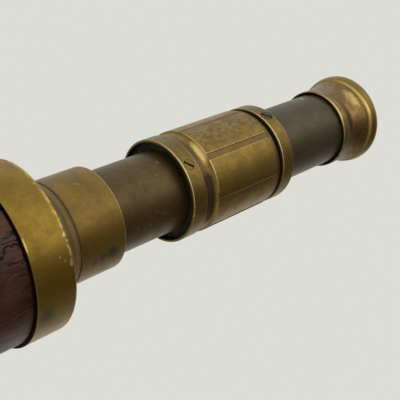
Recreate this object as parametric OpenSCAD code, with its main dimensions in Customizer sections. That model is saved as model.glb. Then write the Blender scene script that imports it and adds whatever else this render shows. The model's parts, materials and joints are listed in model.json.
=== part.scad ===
// Hand-held brass draw telescope with a leather-covered barrel, one sliding draw tube and a turning
// focus sleeve that drives the eyepiece tube through a helical groove.
// The axis is +Z, the objective rim stands on z = 0, and angles are measured from -Y towards +X.

/* [Barrel] */
// Distance from the objective rim to the back face of the rear ferrule
barrel_len = 260.4; // [240:0.1:320]
// Outside diameter of the two barrel ferrules
ferrule_d = 55.9; // [55:0.1:57]
// Length of the rear ferrule
rear_ferrule_len = 13.6; // [12:0.1:18]
// Outside diameter of the leather covering
leather_d = 53.8; // [53:0.1:54.5]
// Outside diameter of the brass barrel tube
barrel_d = 51.8; // [51.4:0.1:52]
// Wall of the barrel tube
barrel_wall = 0.9; // [0.7:0.1:1.1]
// Gap between the leather and each ferrule
leather_gap = 0.3; // [0.2:0.1:1]

/* [Draw collar] */
// Outside diameter of the collar that guides the draw tube
collar_d = 35.3; // [34:0.1:35.4]
// Length of the collar base that stands proud of the rear ferrule
collar_base_len = 9.1; // [9:0.1:12]
// Width of the joint line between the collar base and the collar
collar_joint = 0.3; // [0.2:0.1:1]
// Length from the rear ferrule to the end of the collar
collar_len = 27; // [24:0.1:34]

/* [Draw tube] */
// Outside diameter of the draw tube and of the eyepiece tube
draw_d = 29.6; // [29:0.1:29.8]
// Wall of both tubes
draw_wall = 0.8; // [0.6:0.1:1]
// Length of draw tube that shows between the collar and the focus head
draw_showing = 28.7; // [24:0.1:50]
// How much further the draw tube pulls out
draw_pull = 85; // [60:1:95]

/* [Focus head] */
// Outside diameter of the focus sleeve
sleeve_d = 38; // [37.6:0.1:39]
// Outside diameter of the two head rings
ring_d = 37.8; // [37.6:0.1:38.4]
// Length of the front ring
front_ring_len = 6.5; // [6:0.1:8]
// Depth of the recess inside the front ring
front_recess = 2; // [1:0.1:2]
// Length of the focus sleeve
sleeve_len = 38.2; // [36:0.1:44]
// Length of the coved shoulder at the front of the sleeve
sleeve_shoulder = 5.1; // [4:0.1:6]
// Length of the lower plain band at the back of the sleeve
sleeve_band = 1.9; // [1:0.1:3]
// Length of the rear ring
rear_ring_len = 6.1; // [5.4:0.1:8]
// Gap that shows between the sleeve and the rear ring
rear_gap = 1.9; // [1.5:0.1:2.4]
// Number of flutes round the sleeve
flute_count = 8; // [4:1:12]
// Width of a flute
flute_w = 2.2; // [1.5:0.1:4]
// Depth of a flute
flute_depth = 0.25; // [0.2:0.05:0.4]
// Angle of the first flute
flute_angle = -14; // [-45:1:45]
// Advance of the helical groove in one turn
groove_lead = 24; // [16:1:30]
// Travel of the eyepiece each way from its middle place
focus_travel = 4; // [2:0.5:5]

/* [Ring screws] */
// Number of screws in each head ring
screw_count = 3; // [2:1:4]
// Diameter of a screw head in the front ring
front_screw_head_d = 4.2; // [3:0.1:4.2]
// Diameter of a screw head in the rear ring
rear_screw_head_d = 4.6; // [3:0.1:4.6]
// Angle of the first screw in the front ring
front_screw_angle = -14; // [-45:1:45]
// Angle of the first screw in the rear ring
rear_screw_angle = -37; // [-45:1:45]

/* [Eyepiece] */
// Length of eyepiece tube that shows between the rear ring and the eyecup
eye_tube_showing = 36.4; // [30:0.1:44]
// Diameter of the lip at the front of the eyecup
cup_lip_d = 32.4; // [32:0.1:34]
// Diameter of the flared rim of the eyecup
cup_rim_d = 37.7; // [36:0.1:42]
// Length of the eyecup
cup_len = 20.9; // [20.5:0.1:24]
// Diameter of the hole that the eye looks through
eye_hole_d = 13; // [8:0.5:16]

/* [Optics] */
// Diameter of the objective lenses
objective_d = 45; // [40:0.5:45]
// Clear diameter in front of the objective
aperture_d = 42.4; // [36:0.2:43]
// Diameter of the lenses of the erector
erector_d = 26; // [22:0.5:26]
// Diameter of the lenses of the eyepiece
eye_lens_d = 25; // [20:0.5:25]

/* [Hidden] */

$fn = 128;
// Colours of the metals, leather, glass and felt
brass = [0.56, 0.44, 0.18];
tube_brass = [0.36, 0.30, 0.19];
eye_brass = [0.30, 0.27, 0.22];
black = [0.08, 0.075, 0.07];
hide = [0.24, 0.12, 0.09];
glass = [0.75, 0.85, 0.85, 0.4];
felt = [0.12, 0.16, 0.12];
// Gap in a fixed joint between two pieces, as radius
fit = 0.02;
// Gap in a running fit, as radius
run = 0.07;
// Overcut that keeps a cutter from ending on a face
cut = 1;
// Fine break, small chamfer and broad chamfer of an edge
fine_edge = 0.2;
small_edge = 0.4;
broad_edge = 0.8;
// Width and depth of a notch for a pin spanner
notch_w = 1.2;
notch_depth = 1;
// Ring screws: shank, play of the head in its seat, slot, and depth of the seat in the rear ring
screw_shank_r = 0.9;
screw_head_play = 0.05;
screw_slot_w = 0.7;
screw_slot_depth = 0.5;
screw_seat_depth = 1.1;
// Points along half of a lens face, and the flat seat round it
lens_steps = 10;
lens_seat = 1.5;
// Points along a quarter round
arc_steps = 8;

// Radii
ferrule_r = ferrule_d / 2;
leather_r = leather_d / 2;
barrel_r = barrel_d / 2;
barrel_in_r = barrel_r - barrel_wall;
collar_r = collar_d / 2;
draw_r = draw_d / 2;
draw_in_r = draw_r - draw_wall;
sleeve_r = sleeve_d / 2;
ring_r = ring_d / 2;
objective_r = objective_d / 2;
aperture_r = aperture_d / 2;
base_bore_r = draw_r + 0.4;
collar_bore_r = draw_r + 0.09;
bush_r = draw_r + 1.1;
spigot_r = collar_r - 1.15;
packing_r = collar_r - 1.25;

// Objective cell: cap seat, grip band, front lip and threaded spigot
cap_seat_r = ferrule_r + 0.2;
cap_seat_top = 9;
grip_r = ferrule_r + 1;
cell_top = 12;
cell_spigot_r = barrel_in_r - 0.6;
cell_spigot_top = 24;
cell_bore_r = objective_r + 0.1;
grip_teeth = 90;
grip_tooth_depth = 0.45;
front_lip = 7;
crown_edge = 3.4;
spacer_t = 0.4;
spacer_w = 0.7;
flint_edge = 4.6;
lens_sag = 1.2;
retainer_t = 3.5;
retainer_in_r = aperture_r - 0.4;

// Heights along the barrel
ferrule_bottom = cell_top + 0.05;
tube_bottom = 15;
front_ferrule_top = 26;
leather_bottom = front_ferrule_top + leather_gap;
rear_ferrule_bottom = barrel_len - rear_ferrule_len;
leather_top = rear_ferrule_bottom - leather_gap;
rear_wall = 4;
glare_stop_z = 80;
glare_stop_t = 1.5;
glare_hole_r = 15.5;

// Heights of the draw collar
base_bottom = barrel_len - 10;
base_top = barrel_len + collar_base_len;
collar_bottom = base_top + collar_joint;
collar_top = barrel_len + collar_len;
liner_bottom = barrel_len + 2;
collar_spigot_bottom = barrel_len + 6;
bush_bottom = barrel_len - 34;
bush_top = barrel_len - 2.1;
bush_slit_len = 20;
bush_slit_w = 1;

// Heights of the focus head
head_bottom = collar_top + draw_showing;
front_ring_top = head_bottom + front_ring_len;
flange_bottom = head_bottom + front_recess;
flange_r = ring_r - 1.05;
sleeve_bottom = front_ring_top + 0.35;
sleeve_top = sleeve_bottom + sleeve_len;
rear_ring_bottom = sleeve_top + rear_gap;
rear_ring_top = rear_ring_bottom + rear_ring_len;
rear_lip = 0.95;
core_r = draw_r + 1.5;
core_top = rear_ring_top - rear_lip - 0.1;
shoulder_r = sleeve_r - 1.4;
shoulder_flat = 1.3;
cove_bottom = sleeve_bottom + shoulder_flat;
cove_top = sleeve_bottom + sleeve_shoulder;
band_bottom = sleeve_top - sleeve_band;
band_r = sleeve_r - 0.45;
front_screw_z = head_bottom + 3.1;
rear_screw_z = (rear_ring_bottom + rear_ring_top) / 2 + 0.2;
washer_r = core_r + 1.1;
screw_tip_r = draw_r + 0.8;
screw_seat_r = ring_r - screw_seat_depth;

// Draw tube and erector
draw_top = flange_bottom + 7.5;
stop_top = bush_bottom - 0.5 - draw_pull;
stop_len = 6;
stop_r = draw_r + 2.8;
draw_bottom = stop_top - stop_len - 1.5;
erector_bottom = draw_bottom + 17;
erector_top = erector_bottom + 102;
erector_r = draw_in_r - 0.1;
erector_in_r = erector_r - 0.8;
erector_lens_r = erector_d / 2;
erector_lens_t = 2.2;
erector_sag = 1.6;
erector_ring_t = 2;
erector_ring_in_r = erector_lens_r - 1.4;
erector_stop_z = erector_bottom + 40;
erector_stop_t = 1;
erector_hole_r = 2.5;

// Drive pin, its slot in the core and its helical groove in the sleeve
pin_r = 1.5;
pin_play = 0.12;
pin_z = sleeve_bottom + sleeve_len / 2 + 3;
pin_angle = 180;
pin_out_r = core_r + 1.15;
groove_out_r = core_r + 1.3;
groove_in_r = core_r - 0.4;
helix_slope = groove_lead / (2 * PI * core_r);
groove_h = 2 * (pin_r + pin_play) * sqrt(1 + pow(helix_slope, 2));
groove_wedge = 360 * groove_h / groove_lead;
groove_len = 2 * (focus_travel + groove_h);

// Eyepiece
eye_tube_bottom = draw_top + focus_travel + 2;
cup_bottom = rear_ring_top + eye_tube_showing;
cup_top = cup_bottom + cup_len;
eye_tube_top = cup_bottom + 10;
cup_lip_r = cup_lip_d / 2;
cup_rim_r = cup_rim_d / 2;
lip_len = 3.9;
lip_recess_r = cup_lip_r - 0.6;
lip_recess = 3;
cove_foot_r = cup_lip_r - 0.7;
cove_foot_z = cup_bottom + lip_len + 0.9;
bead_z = cup_bottom + 14.7;
bead_r = cup_rim_r - 1.25;
rim_z = cup_bottom + 18.8;
rim_round = 1.1;
bead_step = 0.5;
cove_power = 1.9;
eye_hole_r = eye_hole_d / 2;
hole_bottom = eye_tube_top + 0.2;
dish_bottom = cup_top - 6;
cell_r = draw_in_r - 0.05;
eye_lens_r = eye_lens_d / 2;
eye_cell_in_r = eye_lens_r + 0.1;
eye_cell_bottom = cup_bottom - 33;
eye_ring_t = 2;
eye_ring_in_r = eye_lens_r - 1.4;
eye_cell_top = eye_tube_top;
field_stop_z = eye_cell_bottom + 20;
field_stop_t = 1;
field_stop_r = 6;
field_edge = 2.4;
field_sag = 2.2;
eye_edge = 2;
eye_sag = 2.4;

// Turns a piece so that its +X side faces the angle, measured from -Y towards +X
module at_angle(a) {
    rotate([0, 0, a - 90]) children();
}

// Ring between two radii and two heights, with its outer edges chamfered
module ring(r_in, r_out, z0, z1, edge = 0) {
    rotate_extrude()
        polygon([
            [r_in, z0], [r_out - edge, z0], [r_out, z0 + edge],
            [r_out, z1 - edge], [r_out - edge, z1], [r_in, z1]
        ]);
}

// Round hole or shaft between two heights
module shaft(r, z0, z1) {
    translate([0, 0, z0]) cylinder(r = r, h = z1 - z0);
}

// Lens with a flat seat round each face and a straight edge from z0 to z1; a positive sag makes
// that face bulge outwards
module lens(r, z0, z1, sag_low, sag_high) {
    clear = r - lens_seat;
    low = [for (i = [0 : lens_steps])
        [clear * i / lens_steps, z0 - sag_low * (1 - pow(i / lens_steps, 2))]];
    high = [for (i = [lens_steps : -1 : 0])
        [clear * i / lens_steps, z1 + sag_high * (1 - pow(i / lens_steps, 2))]];
    color(glass) rotate_extrude() polygon(concat(low, [[r, z0], [r, z1]], high));
}

// Two notches across a ring for a pin spanner
module spanner_notches(r, z0, z1) {
    translate([-r - cut, -notch_w / 2, z0]) cube([2 * (r + cut), notch_w, z1 - z0]);
}

// Slotted ring screw lying along +X, with its head from r_seat to r_out and its shank down to r_in
module ring_screw(head_d, r_in, r_seat, r_out, slot_turn) {
    difference() {
        union() {
            radial_rod(screw_shank_r, r_in, r_seat + fit);
            radial_rod(head_d / 2 - screw_head_play, r_seat, r_out);
        }
        translate([r_out, 0, 0]) rotate([slot_turn, 0, 0])
            cube([2 * screw_slot_depth, screw_slot_w, head_d + cut], center = true);
    }
}

// Round rod or hole along +X from r_in to r_out
module radial_rod(r, r_in, r_out) {
    rotate([0, 90, 0]) translate([0, 0, r_in]) cylinder(r = r, h = r_out - r_in, $fn = 48);
}

module objective_cell() {
    color(brass) difference() {
        rotate_extrude() polygon([
            [aperture_r, front_lip / 2], [aperture_r + front_lip / 2, 0],
            [cap_seat_r - broad_edge, 0], [cap_seat_r, broad_edge], [cap_seat_r, cap_seat_top],
            [grip_r, cap_seat_top + small_edge], [grip_r, cell_top - small_edge],
            [grip_r - small_edge, cell_top], [cell_spigot_r, cell_top],
            [cell_spigot_r, cell_spigot_top], [cell_bore_r, cell_spigot_top],
            [cell_bore_r, front_lip], [aperture_r, front_lip]
        ]);
        for (i = [0 : grip_teeth - 1])
            rotate([0, 0, 360 * i / grip_teeth])
                translate([grip_r + grip_tooth_depth, 0, cap_seat_top + fine_edge])
                    cylinder(r = 2 * grip_tooth_depth, h = cell_top, $fn = 4);
    }
}

module objective_crown_lens() {
    lens(objective_r, front_lip, front_lip + crown_edge, lens_sag, lens_sag);
}

module objective_spacer() {
    z = front_lip + crown_edge;
    color(black) ring(objective_r - spacer_w, objective_r, z, z + spacer_t);
}

module objective_flint_lens() {
    z = front_lip + crown_edge + spacer_t;
    lens(objective_r, z, z + flint_edge, -lens_sag, 0);
}

module objective_retainer() {
    z = front_lip + crown_edge + spacer_t + flint_edge;
    color(black) difference() {
        ring(retainer_in_r, cell_bore_r - fit, z, z + retainer_t);
        spanner_notches(objective_r, z + retainer_t - notch_depth, z + retainer_t + cut);
    }
}

module front_ferrule() {
    color(brass) difference() {
        ring(cell_spigot_r + fit, ferrule_r, ferrule_bottom, front_ferrule_top, small_edge);
        shaft(barrel_r + fit, tube_bottom, front_ferrule_top + cut);
    }
}

module barrel_tube() {
    color(tube_brass) ring(barrel_in_r, barrel_r, tube_bottom, barrel_len - rear_wall);
}

module leather_cover() {
    color(hide) ring(barrel_r + 2 * fit, leather_r, leather_bottom, leather_top);
}

module glare_stop() {
    color(black) ring(glare_hole_r, barrel_in_r - 2 * fit, glare_stop_z, glare_stop_z + glare_stop_t);
}

module rear_ferrule() {
    color(brass) difference() {
        rotate_extrude() polygon([
            [spigot_r + fit, rear_ferrule_bottom], [ferrule_r - fine_edge, rear_ferrule_bottom],
            [ferrule_r, rear_ferrule_bottom + fine_edge], [ferrule_r, barrel_len - broad_edge],
            [ferrule_r - fine_edge, barrel_len - fine_edge],
            [ferrule_r - broad_edge, barrel_len], [spigot_r + fit, barrel_len]
        ]);
        shaft(barrel_r + fit, rear_ferrule_bottom - cut, barrel_len - rear_wall);
    }
}

module collar_base() {
    color(tube_brass) difference() {
        rotate_extrude() polygon([
            [base_bore_r, base_bottom], [spigot_r, base_bottom], [spigot_r, barrel_len],
            [collar_r, barrel_len], [collar_r, base_top - fine_edge],
            [collar_r - fine_edge, base_top], [base_bore_r, base_top]
        ]);
        shaft(bush_r + fit, base_bottom - cut, bush_top + fit);
        shaft(packing_r, liner_bottom, base_top + cut);
    }
}

module draw_collar() {
    color(brass) rotate_extrude() polygon([
        [collar_bore_r, collar_spigot_bottom], [packing_r - fit, collar_spigot_bottom],
        [packing_r - fit, collar_bottom], [collar_r - fine_edge, collar_bottom],
        [collar_r, collar_bottom + fine_edge], [collar_r, collar_top - small_edge],
        [collar_r - small_edge, collar_top], [collar_bore_r + small_edge, collar_top],
        [collar_bore_r, collar_top - small_edge]
    ]);
}

module friction_liner() {
    color(felt) ring(draw_r + run, packing_r - fit, liner_bottom, collar_spigot_bottom - 0.1);
}

module guide_bush() {
    color(black) difference() {
        ring(draw_r + run, bush_r, bush_bottom, bush_top);
        for (i = [0 : 1])
            rotate([0, 0, 90 * i])
                translate([-bush_r - cut, -bush_slit_w / 2, bush_bottom - cut])
                    cube([2 * (bush_r + cut), bush_slit_w, bush_slit_len + cut]);
    }
}

module draw_tube() {
    color(tube_brass) ring(draw_in_r, draw_r, draw_bottom, draw_top);
}

module draw_stop_ring() {
    color(black) ring(draw_r + fit, stop_r, stop_top - stop_len, stop_top, small_edge);
}

module erector_tube() {
    color(black) ring(erector_in_r, erector_r, erector_bottom, erector_top);
}

// Retaining ring from height z; its notches are cut from notch_z, below or above its middle
module erector_retainer(z, notch_z) {
    color(black) difference() {
        ring(erector_ring_in_r, erector_in_r - fit, z, z + erector_ring_t);
        spanner_notches(erector_in_r, notch_z, notch_z + notch_depth + cut);
    }
}

module erector_front_lens() {
    z = erector_bottom + erector_ring_t;
    lens(erector_lens_r, z, z + erector_lens_t, 0, erector_sag);
}

module erector_front_retainer() {
    erector_retainer(erector_bottom, erector_bottom - cut);
}

module erector_stop() {
    color(black) ring(erector_hole_r, erector_in_r - fit, erector_stop_z, erector_stop_z + erector_stop_t);
}

module erector_rear_lens() {
    z = erector_top - erector_ring_t - erector_lens_t;
    lens(erector_lens_r, z, z + erector_lens_t, erector_sag, 0);
}

module erector_rear_retainer() {
    erector_retainer(erector_top - erector_ring_t, erector_top - notch_depth);
}

module head_core() {
    color(black) difference() {
        union() {
            ring(draw_r + fit, flange_r, flange_bottom, front_ring_top + 0.2);
            ring(draw_r + fit, core_r, flange_bottom, core_top);
        }
        shaft(draw_r + run, draw_top + cut, core_top + cut);
        for (i = [0 : screw_count - 1]) {
            at_angle(front_screw_angle + 360 * i / screw_count)
                translate([0, 0, front_screw_z])
                    radial_rod(screw_shank_r + fit, screw_tip_r - fine_edge, flange_r + cut);
            at_angle(rear_screw_angle + 360 * i / screw_count)
                translate([0, 0, rear_screw_z])
                    radial_rod(screw_shank_r + fit, draw_r - cut, core_r + cut);
        }
        at_angle(pin_angle) for (z = [pin_z - focus_travel, pin_z + focus_travel])
            translate([0, 0, z]) radial_rod(pin_r + pin_play, draw_r - cut, core_r + cut);
        at_angle(pin_angle) translate([draw_r - cut, -pin_r - pin_play, pin_z - focus_travel])
            cube([core_r - draw_r + 2 * cut, 2 * (pin_r + pin_play), 2 * focus_travel]);
    }
}

module front_ring() {
    color(brass) difference() {
        ring(flange_r + fit, ring_r, head_bottom, front_ring_top, fine_edge);
        for (i = [0 : screw_count - 1])
            at_angle(front_screw_angle + 360 * i / screw_count)
                translate([0, 0, front_screw_z])
                    radial_rod(front_screw_head_d / 2, flange_r - cut, ring_r + cut);
    }
}

module front_ring_screws() {
    color(brass) for (i = [0 : screw_count - 1])
        at_angle(front_screw_angle + 360 * i / screw_count)
            translate([0, 0, front_screw_z])
                ring_screw(front_screw_head_d, screw_tip_r, flange_r + fit, ring_r, -46 + 70 * i);
}

module rear_ring() {
    color(brass) difference() {
        ring(draw_r + run, ring_r, rear_ring_bottom, rear_ring_top, fine_edge);
        shaft(core_r + fit, rear_ring_bottom - cut, rear_ring_top - rear_lip);
        for (i = [0 : screw_count - 1])
            at_angle(rear_screw_angle + 360 * i / screw_count)
                translate([0, 0, rear_screw_z]) {
                    radial_rod(rear_screw_head_d / 2, screw_seat_r, ring_r + cut);
                    radial_rod(screw_shank_r + fit, core_r - cut, ring_r);
                }
    }
}

module rear_ring_screws() {
    color(tube_brass) for (i = [0 : screw_count - 1])
        at_angle(rear_screw_angle + 360 * i / screw_count)
            translate([0, 0, rear_screw_z])
                ring_screw(rear_screw_head_d, screw_tip_r, screw_seat_r + fit, ring_r, -52 + 50 * i);
}

module sleeve_washer() {
    color(black) ring(core_r + fit, washer_r, sleeve_top + small_edge, rear_ring_bottom - fine_edge);
}

// Wedge that the helical groove is swept from, as wide as the groove at the bore of the sleeve
module groove_section() {
    half = groove_wedge / 2;
    polygon(concat(
        [for (a = [-half : half / 4 : half]) groove_out_r * [cos(a), sin(a)]],
        [for (a = [half : -half / 4 : -half]) groove_in_r * [cos(a), sin(a)]]
    ));
}

// Right-handed groove that passes the pin at pin_z
module helical_groove() {
    turn = 360 * groove_len / groove_lead;
    at_angle(pin_angle - turn / 2) translate([0, 0, pin_z - groove_len / 2])
        linear_extrude(height = groove_len, twist = -turn, slices = 40, segments = 20) groove_section();
}

module focus_sleeve() {
    cove = [for (i = [0 : arc_steps])
        [sleeve_r - (sleeve_r - shoulder_r) * cos(90 * i / arc_steps),
         cove_bottom + (cove_top - cove_bottom) * sin(90 * i / arc_steps)]];
    color(brass) difference() {
        rotate_extrude() polygon(concat(
            [[core_r + run, sleeve_bottom], [shoulder_r, sleeve_bottom]],
            cove,
            [[sleeve_r, band_bottom - fine_edge], [sleeve_r - fine_edge, band_bottom],
             [band_r, band_bottom], [band_r, sleeve_top - fine_edge],
             [band_r - fine_edge, sleeve_top], [core_r + run, sleeve_top]]
        ));
        for (i = [0 : flute_count - 1])
            at_angle(flute_angle + 360 * i / flute_count)
                translate([sleeve_r - flute_depth, -flute_w / 2, cove_bottom])
                    cube([2 * flute_depth, flute_w, band_bottom - cove_bottom + fit]);
        helical_groove();
    }
}

module eyepiece_tube() {
    color(eye_brass) difference() {
        ring(draw_in_r, draw_r, eye_tube_bottom, eye_tube_top);
        at_angle(pin_angle) translate([0, 0, pin_z]) radial_rod(pin_r, draw_in_r - cut, draw_r + cut);
    }
}

module drive_pin() {
    color(black) at_angle(pin_angle) translate([0, 0, pin_z])
        radial_rod(pin_r - fit, draw_in_r, pin_out_r);
}

module eyecup() {
    cove = [for (i = [0 : 2 * arc_steps])
        [cove_foot_r + (bead_r - cove_foot_r) * pow(i / (2 * arc_steps), cove_power),
         cove_foot_z + (bead_z - cove_foot_z) * i / (2 * arc_steps)]];
    rim = [for (i = [-arc_steps : arc_steps])
        [cup_rim_r - rim_round + rim_round * cos(90 * i / arc_steps),
         rim_z + (i < 0 ? rim_z - bead_z - bead_step : cup_top - rim_z) * sin(90 * i / arc_steps)]];
    dish_r = cup_rim_r - 2 * rim_round;
    dish = [for (i = [0 : arc_steps])
        [dish_r - (dish_r - eye_hole_r) * sin(90 * i / arc_steps),
         dish_bottom + (cup_top - dish_bottom) * cos(90 * i / arc_steps)]];
    color(brass) difference() {
        rotate_extrude() polygon(concat(
            [[draw_r + fit, cup_bottom], [cup_lip_r - fine_edge, cup_bottom],
             [cup_lip_r, cup_bottom + fine_edge], [cup_lip_r, cup_bottom + lip_len - fine_edge],
             [cup_lip_r - fine_edge, cup_bottom + lip_len], [cove_foot_r, cup_bottom + lip_len]],
            cove, [[bead_r - small_edge, bead_z + fine_edge]], rim, dish,
            [[eye_hole_r, hole_bottom], [draw_r + fit, hole_bottom]]
        ));
        shaft(lip_recess_r, cup_bottom - cut, cup_bottom + lip_recess);
    }
}

module eye_cell() {
    color(black) ring(eye_cell_in_r, cell_r, eye_cell_bottom, eye_cell_top);
}

module field_lens_retainer() {
    color(black) ring(eye_ring_in_r, eye_cell_in_r - fit, eye_cell_bottom, eye_cell_bottom + eye_ring_t);
}

module field_lens() {
    z = eye_cell_bottom + eye_ring_t;
    lens(eye_lens_r, z, z + field_edge, field_sag, 0);
}

module field_stop() {
    color(black) ring(field_stop_r, eye_cell_in_r - fit, field_stop_z, field_stop_z + field_stop_t);
}

module eye_lens() {
    z = eye_cell_top - eye_ring_t - eye_edge;
    lens(eye_lens_r, z, z + eye_edge, eye_sag, 0);
}

module eye_lens_retainer() {
    color(black) ring(eye_ring_in_r, eye_cell_in_r - fit, eye_cell_top - eye_ring_t, eye_cell_top);
}

objective_cell();
objective_crown_lens();
objective_spacer();
objective_flint_lens();
objective_retainer();
front_ferrule();
barrel_tube();
leather_cover();
glare_stop();
rear_ferrule();
collar_base();
draw_collar();
friction_liner();
guide_bush();
draw_tube();
draw_stop_ring();
erector_tube();
erector_front_lens();
erector_front_retainer();
erector_stop();
erector_rear_lens();
erector_rear_retainer();
head_core();
front_ring();
front_ring_screws();
rear_ring();
rear_ring_screws();
sleeve_washer();
focus_sleeve();
eyepiece_tube();
drive_pin();
eyecup();
eye_cell();
field_lens();
field_lens_retainer();
field_stop();
eye_lens();
eye_lens_retainer();
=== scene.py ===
import json
import math

import bmesh
import bpy
import numpy as np
from mathutils import Matrix, Vector


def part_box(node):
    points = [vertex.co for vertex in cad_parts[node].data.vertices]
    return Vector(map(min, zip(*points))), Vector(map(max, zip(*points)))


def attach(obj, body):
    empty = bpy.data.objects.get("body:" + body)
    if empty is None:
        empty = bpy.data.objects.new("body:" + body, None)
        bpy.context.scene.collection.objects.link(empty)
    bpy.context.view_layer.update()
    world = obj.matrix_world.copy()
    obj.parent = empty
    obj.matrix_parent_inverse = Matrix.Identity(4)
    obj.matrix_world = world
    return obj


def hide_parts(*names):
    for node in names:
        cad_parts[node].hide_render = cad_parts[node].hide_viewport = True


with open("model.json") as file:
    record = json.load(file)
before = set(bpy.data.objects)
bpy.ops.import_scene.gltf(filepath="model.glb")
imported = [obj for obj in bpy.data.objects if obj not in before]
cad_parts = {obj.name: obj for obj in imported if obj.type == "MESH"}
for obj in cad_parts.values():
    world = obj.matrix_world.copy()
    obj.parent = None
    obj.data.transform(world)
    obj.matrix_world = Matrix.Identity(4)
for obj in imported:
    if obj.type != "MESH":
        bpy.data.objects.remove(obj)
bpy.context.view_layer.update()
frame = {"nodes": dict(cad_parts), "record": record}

# The telescope stands on its objective rim with its axis on +Z. Angles run round the axis from
# -Y (the side that faces the camera) towards +X. Outlines are in millimetres.
MM = 0.001
SEGMENTS = 288  # steps round a turned piece
SHARP = 38  # degrees: sharper edges are not smoothed
FIT = 0.02  # clearance of pieces that are fixed together
RUN = 0.07  # clearance of pieces that turn or slide
JOINT_GAP = 0.3  # the fine joint under the collar
BARREL_WALL = 1.5
TUBE_WALL = 0.8
CRACKED_END = 14  # length of the leather's finely divided rear end


def low(node):
    """Height of a node's lower end, in millimetres."""
    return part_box(node)[0].z / MM


def high(node):
    """Height of a node's upper end, in millimetres."""
    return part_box(node)[1].z / MM


def radius(node):
    """Outer radius of a round node, in millimetres."""
    lowest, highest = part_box(node)
    return max(highest.x, highest.y, -lowest.x, -lowest.y) / MM


# ---- Repeatable noise ----
def lattice(i, j, k, seed):
    """A value from 0 to 1 for each lattice point, always the same for the same seed."""
    n = i * 374761393 + j * 668265263 + k * 1442695041 + seed * 974634777
    n = np.bitwise_and(n, 0xFFFFFFFF)
    n = np.bitwise_and(np.bitwise_xor(n, n >> 13) * 1274126177, 0xFFFFFFFF)
    return np.bitwise_and(np.bitwise_xor(n, n >> 16), 0xFFFF) / 65535.0


def value_noise(points, seed):
    """Smooth noise from 0 to 1 at an (n, 3) array of points, one lattice cell a unit."""
    cell = np.floor(points).astype(np.int64)
    f = points - cell
    f = f * f * (3 - 2 * f)
    total = 0
    for corner in range(8):
        dx, dy, dz = corner & 1, corner >> 1 & 1, corner >> 2
        weight = 1
        for axis, d in enumerate((dx, dy, dz)):
            weight = weight * (f[:, axis] if d else 1 - f[:, axis])
        total = total + weight * lattice(cell[:, 0] + dx, cell[:, 1] + dy, cell[:, 2] + dz, seed)
    return total


def cloud_noise(points, seed, octaves=3):
    """Several octaves of value noise, about 0 to 1."""
    total, size = 0, 0
    for octave in range(octaves):
        strength = 0.5 ** octave
        total = total + strength * value_noise(points * 2 ** octave, seed + octave)
        size += strength
    return total / size


# ---- Turned pieces ----
class Corner:
    """A corner of a turned section: radius and height, how far its edge is rounded, how bright
    it is from rubbing and painted highlight, and how dark it is from grime and painted shade."""

    def __init__(self, r, z, soft=0.0, worn=0.0, dirty_and_shaded=0.0):
        self.at = np.array([r, z], float)
        self.soft, self.worn, self.dirty_and_shaded = soft, worn, dirty_and_shaded


def edge_stops(length, step):
    """Distances along an edge, close together near its ends, where wear and dirt fade."""
    near = [d for d in (0.12, 0.3, 0.6, 1.0, 1.6) if d < length / 2]
    start = near[-1] if near else 0
    middle = max(1, int(math.ceil((length - 2 * start) / step)))
    inner = [start + (length - 2 * start) * i / middle for i in range(1, middle)]
    return near + inner + [length - d for d in reversed(near)]


def section(corners, step):
    """Points of a closed section, with rounded corners, as an (n, 2) array."""
    count, bends = len(corners), 4
    cuts = []
    for i, corner in enumerate(corners):
        before, after = corners[i - 1].at, corners[(i + 1) % count].at
        size_a, size_b = np.linalg.norm(before - corner.at), np.linalg.norm(after - corner.at)
        soft = min(corner.soft, 0.45 * size_a, 0.45 * size_b)
        cuts.append((corner.at + (before - corner.at) * soft / size_a,
                     corner.at + (after - corner.at) * soft / size_b, soft))
    points = []
    for i, corner in enumerate(corners):
        start, end, soft = cuts[i]
        if soft > 0:
            for k in range(bends + 1):
                u = k / bends
                points.append((1 - u) ** 2 * start + 2 * u * (1 - u) * corner.at + u * u * end)
        else:
            points.append(corner.at)
        following = cuts[(i + 1) % count][0]
        length = np.linalg.norm(following - end)
        for d in edge_stops(length, step):
            points.append(end + (following - end) * d / length)
    return np.array(points)


def corner_marks(points, corners, reach):
    """Brightness from rubbing and painted highlight, and darkness from grime and painted shade, at each
    point of a section, from the corners near it.
    """
    wear, dirt = np.zeros(len(points)), np.zeros(len(points))
    for corner in corners:
        near = np.exp(-(np.linalg.norm(points - corner.at, axis=1) / reach) ** 2)
        wear = np.maximum(wear, corner.worn * near)
        dirt = np.maximum(dirt, corner.dirty_and_shaded * near)
    return wear, dirt


def arc(r, z, wide, tall, start, end, steps):
    """Points of an elliptic arc about (r, z), from start to end in quarter turns."""
    angles = np.linspace(start, end, steps + 1) * math.pi / 2
    return [(r + wide * math.cos(a), z + tall * math.sin(a)) for a in angles]


def round_angles(count=SEGMENTS):
    """Equal steps round a full turn."""
    return np.arange(count) * 2 * math.pi / count


def wrap(angle):
    """Angles brought to between -pi and pi."""
    return (angle + math.pi) % (2 * math.pi) - math.pi


def bell(value, middle, wide):
    """1 at the middle, fading to 0 on both sides."""
    return np.exp(-((value - middle) / wide) ** 2)


def ramp(value, start, length):
    """0 up to start, rising to 1 over length, or falling if length is negative."""
    return np.clip((value - start) / length, 0, 1)


def blob(angle, height, at_deg, at_z, wide, tall, size):
    """A soft spot on a cylinder of radius size: wide and tall are in millimetres."""
    across = wrap(angle - math.radians(at_deg)) * size
    return np.exp(-(across / wide) ** 2 - ((height - at_z) / tall) ** 2)


def blobs(angle, height, spots, size):
    """Sum of soft spots, each (degrees, height, wide, tall, strength)."""
    return sum(strength * blob(angle, height, at_deg, at_z, wide, tall, size)
               for at_deg, at_z, wide, tall, strength in spots)


def on_cylinder(angle, r, z):
    """Points in millimetres from angle, radius and height."""
    return np.stack([r * np.sin(angle), -r * np.cos(angle), z], 1)


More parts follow.
